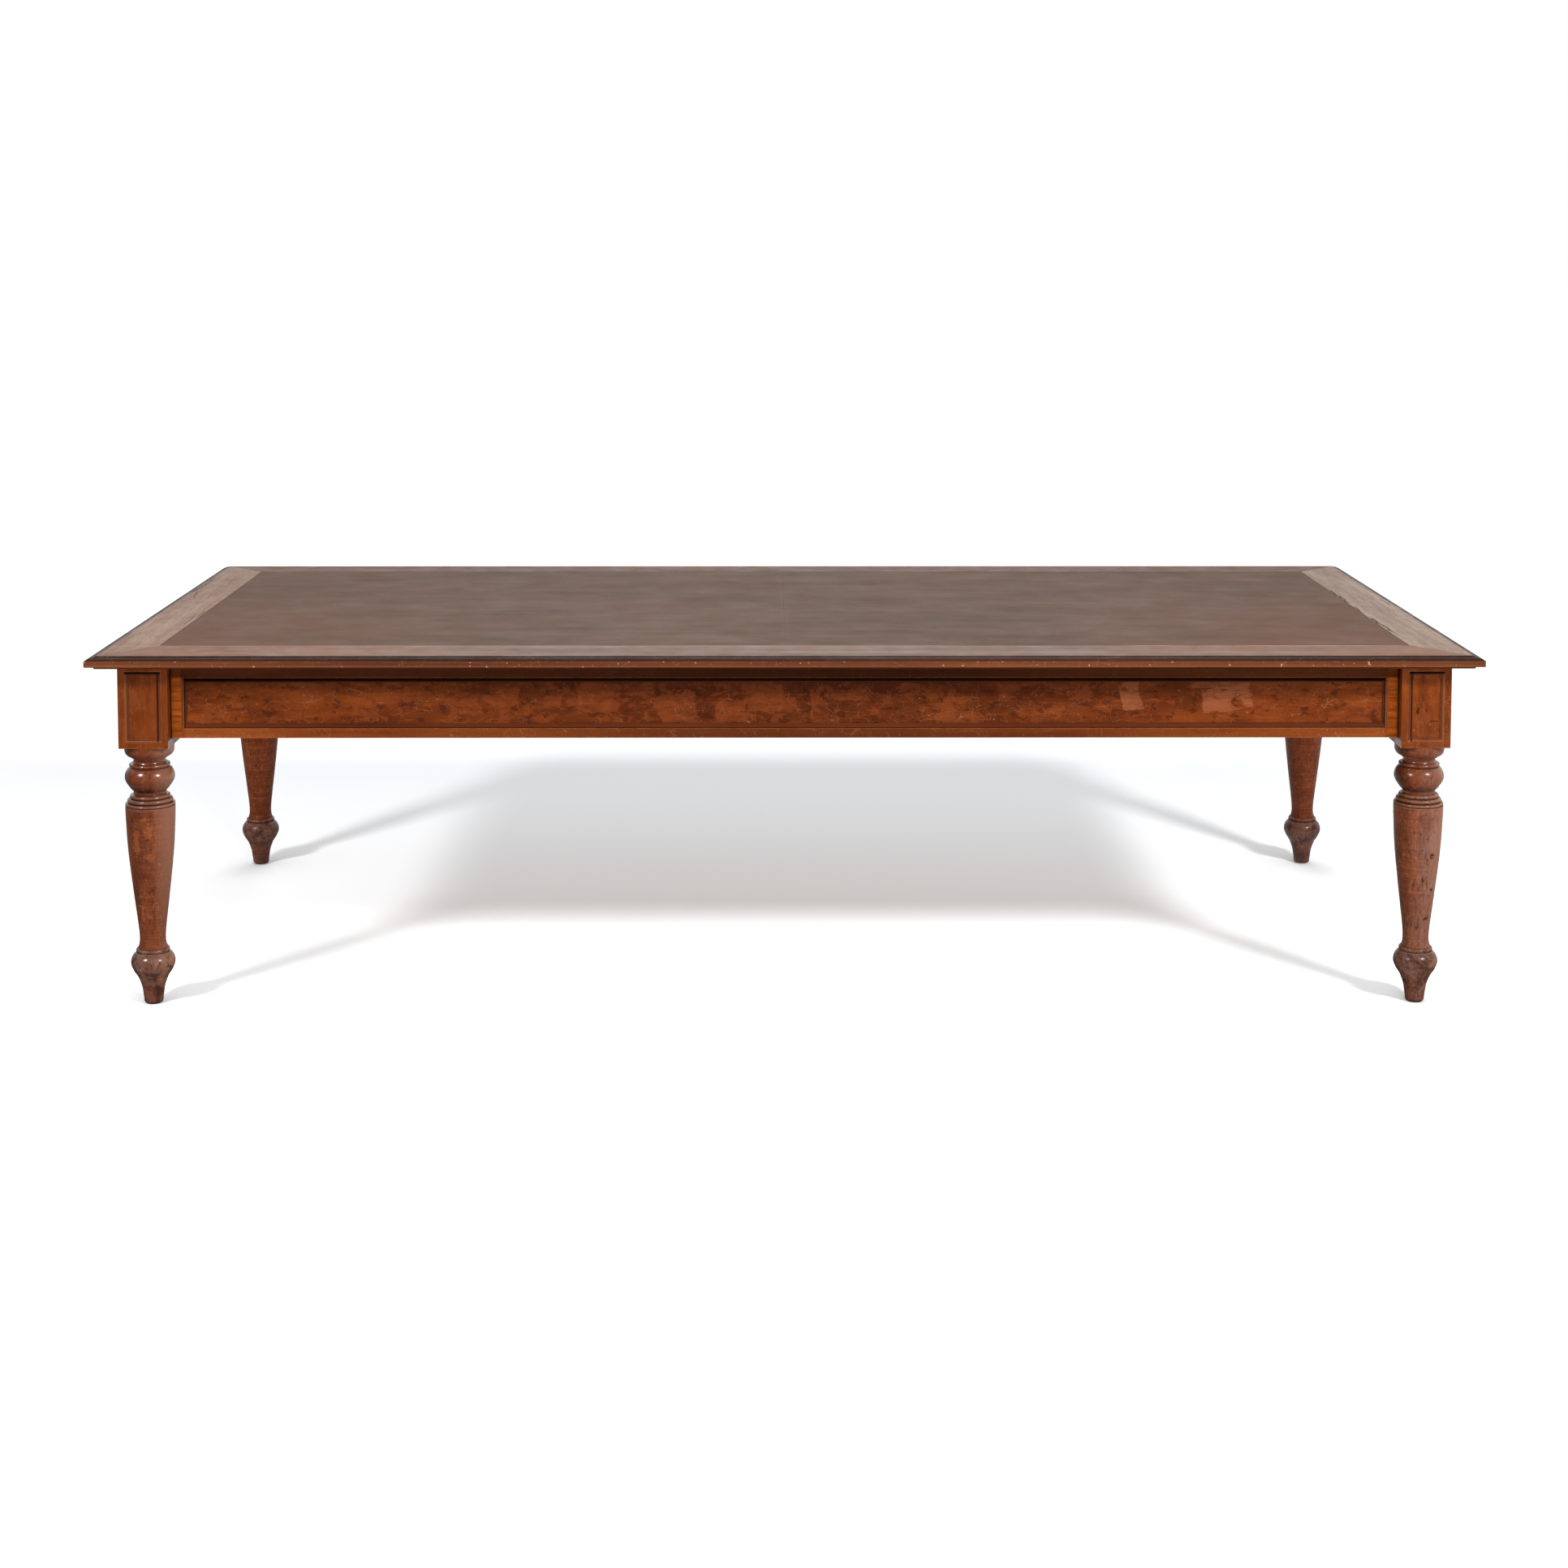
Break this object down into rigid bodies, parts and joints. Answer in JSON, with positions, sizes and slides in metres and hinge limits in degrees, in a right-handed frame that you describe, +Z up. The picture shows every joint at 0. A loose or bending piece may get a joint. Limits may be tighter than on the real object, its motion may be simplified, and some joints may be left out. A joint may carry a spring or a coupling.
{
  "type": "library table",
  "caption": "Long rectangular library table with an inset leather writing surface in a mitred moulded border, a frieze of sunk panels and turned legs on ogee feet.",
  "frame": {"origin": "on the floor under the middle of the top", "axes": "+X along the length of the top to the right, +Y away from the front, +Z up"},
  "size_m": [2.914, 1.38, 0.762],
  "materials": {
    "polished_mahogany": "french polished, worn",
    "faded_mahogany": "faded, dry satin",
    "writing_leather": "worn satin",
    "under_timber": "unfinished, dusty",
    "steel_screw": "dull"
  },
  "bodies": {
    "root": {"bearer_left": "under_timber", "bearer_middle": "under_timber", "bearer_right": "under_timber", "bearer_screws": "steel_screw", "board_tongues": "under_timber", "border_back": "faded_mahogany", "border_front": "faded_mahogany", "border_left": "faded_mahogany", "border_right": "faded_mahogany", "border_tongues": "under_timber", "brace_screws": "steel_screw", "corner_brace_back_left": "under_timber", "corner_brace_back_right": "under_timber", "corner_brace_front_left": "under_timber", "corner_brace_front_right": "under_timber", "frieze_moulding_back_bottom": "polished_mahogany", "frieze_moulding_back_left": "polished_mahogany", "frieze_moulding_back_right": "polished_mahogany", "frieze_moulding_back_top": "polished_mahogany", "frieze_moulding_front_bottom": "polished_mahogany", "frieze_moulding_front_left": "polished_mahogany", "frieze_moulding_front_right": "polished_mahogany", "frieze_moulding_front_top": "polished_mahogany", "frieze_moulding_left_bottom": "polished_mahogany", "frieze_moulding_left_left": "polished_mahogany", "frieze_moulding_left_right": "polished_mahogany", "frieze_moulding_left_top": "polished_mahogany", "frieze_moulding_right_bottom": "polished_mahogany", "frieze_moulding_right_left": "polished_mahogany", "frieze_moulding_right_right": "polished_mahogany", "frieze_moulding_right_top": "polished_mahogany", "glue_blocks_back": "under_timber", "glue_blocks_front": "under_timber", "glue_blocks_left": "under_timber", "glue_blocks_right": "under_timber", "ground_board_1": "under_timber", "ground_board_2": "under_timber", "ground_board_3": "under_timber", "ground_board_4": "under_timber", "ground_board_5": "under_timber", "leather_left": "writing_leather", "leather_right": "writing_leather", "leg_back_left": "polished_mahogany", "leg_back_right": "polished_mahogany", "leg_beads_back_left": "polished_mahogany", "leg_beads_back_right": "polished_mahogany", "leg_beads_front_left": "polished_mahogany", "leg_beads_front_right": "polished_mahogany", "leg_front_left": "polished_mahogany", "leg_front_right": "polished_mahogany", "lining_back": "polished_mahogany", "lining_front": "polished_mahogany", "lining_left": "polished_mahogany", "lining_right": "polished_mahogany", "rail_back": "polished_mahogany", "rail_front": "polished_mahogany", "rail_left": "polished_mahogany", "rail_right": "polished_mahogany"}
  },
  "joints": []
}
